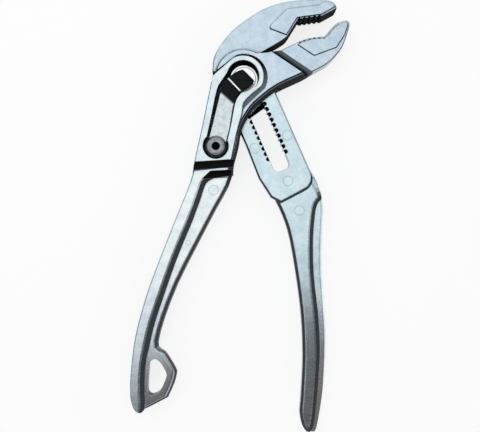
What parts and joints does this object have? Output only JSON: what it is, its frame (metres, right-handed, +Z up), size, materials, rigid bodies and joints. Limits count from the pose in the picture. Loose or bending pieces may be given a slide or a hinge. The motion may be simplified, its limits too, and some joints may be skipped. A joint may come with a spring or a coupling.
{
  "type": "water_pump_pliers",
  "caption": "Box-joint water pump pliers: satin steel forgings with a toothed slot, a thumb button on a spring leaf that frees the lock, and a tether loop on one handle.",
  "frame": {"origin": "on the pivot axis, at the plane of the rear cheek that the tool lies on", "axes": "+Z up out of the front face along the pivot axis, +Y from the handles to the jaws, +X towards the open side of the jaws"},
  "size_m": [0.1261, 0.2494, 0.0178],
  "materials": {
    "satin_steel": "satin chrome plate over blasted forgings",
    "bright_steel": "turned or rolled bright steel",
    "dark_steel": "hardened steel, left dark",
    "black_button": "black oxide with a polished near edge"
  },
  "bodies": {
    "lower": {"lower_jaw_handle": "satin_steel", "spring_leaf": "bright_steel", "leaf_screw": "bright_steel"},
    "pivot": {"pivot_pin": "bright_steel", "rear_bush": "bright_steel"},
    "arm": {"upper_jaw_arm": "satin_steel"},
    "key": {"lock_key": "dark_steel"},
    "button": {"thumb_button": "black_button"}
  },
  "joints": [
    {"name": "handle_pivot", "type": "hinge", "parent": "lower", "child": "pivot", "pos_m": [0, 0, 0], "axis": [0, 0, 1], "range_deg": [-6, 15]},
    {"name": "jaw_adjust", "type": "slide", "parent": "pivot", "child": "arm", "axis": [-0.4035, 0.915, 0], "range_m": [0, 0.03996]},
    {"name": "key_press", "type": "slide", "parent": "pivot", "child": "key", "axis": [0, 0, -1], "range_m": [0, 0.002], "stiffness_N_per_m": 1500, "springref_m": -0.002},
    {"name": "button_press", "type": "slide", "parent": "lower", "child": "button", "axis": [0, 0, -1], "range_m": [0, 0.002], "deforming": ["spring_leaf"]}
  ],
  "couplings": [
    {"joint": "button_press", "follows": "key_press", "ratio": 1}
  ]
}
